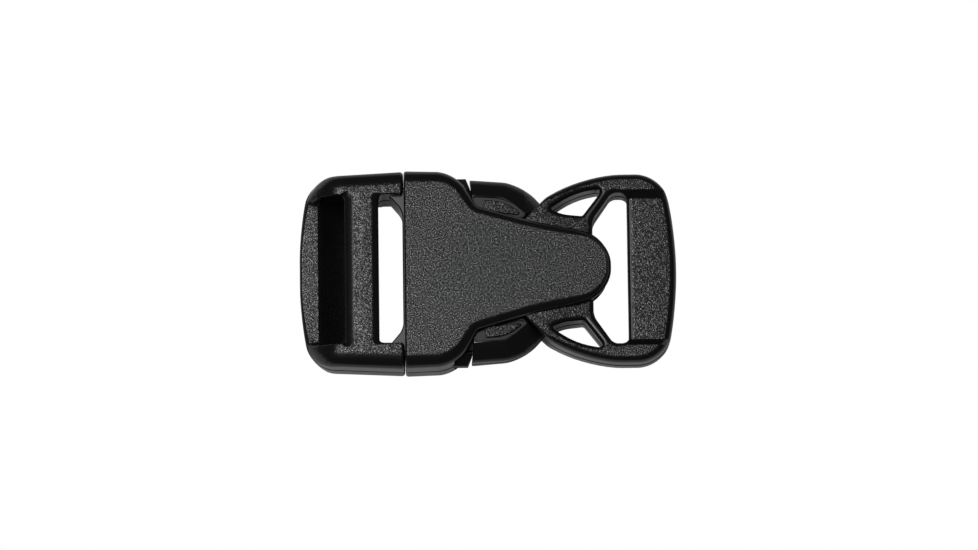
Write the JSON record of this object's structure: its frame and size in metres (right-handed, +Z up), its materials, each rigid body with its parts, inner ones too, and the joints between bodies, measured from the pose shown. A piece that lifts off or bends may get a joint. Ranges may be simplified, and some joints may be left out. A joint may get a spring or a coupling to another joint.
{
  "type": "side release buckle",
  "caption": "Fastened side release buckle: a plug with a slotted strap adjuster frame and squeeze arms, latched in a flat two-plate socket whose tail carries a webbing bar.",
  "frame": {"origin": "middle of the fastened buckle on the plane of the socket's lower plate, on which it rests", "axes": "+X along the buckle from the plug's frame to the socket's tail, +Y across it, +Z up through its thickness"},
  "size_m": [0.0658, 0.0356, 0.0106],
  "materials": {
    "plug_plastic": "moulded black acetal, fine spark grain on its flats and smooth satin sides",
    "socket_plastic": "moulded black acetal, fine spark grain on its flats and smooth satin sides"
  },
  "bodies": {
    "root": {"plug": "plug_plastic", "socket": "socket_plastic"}
  },
  "joints": []
}
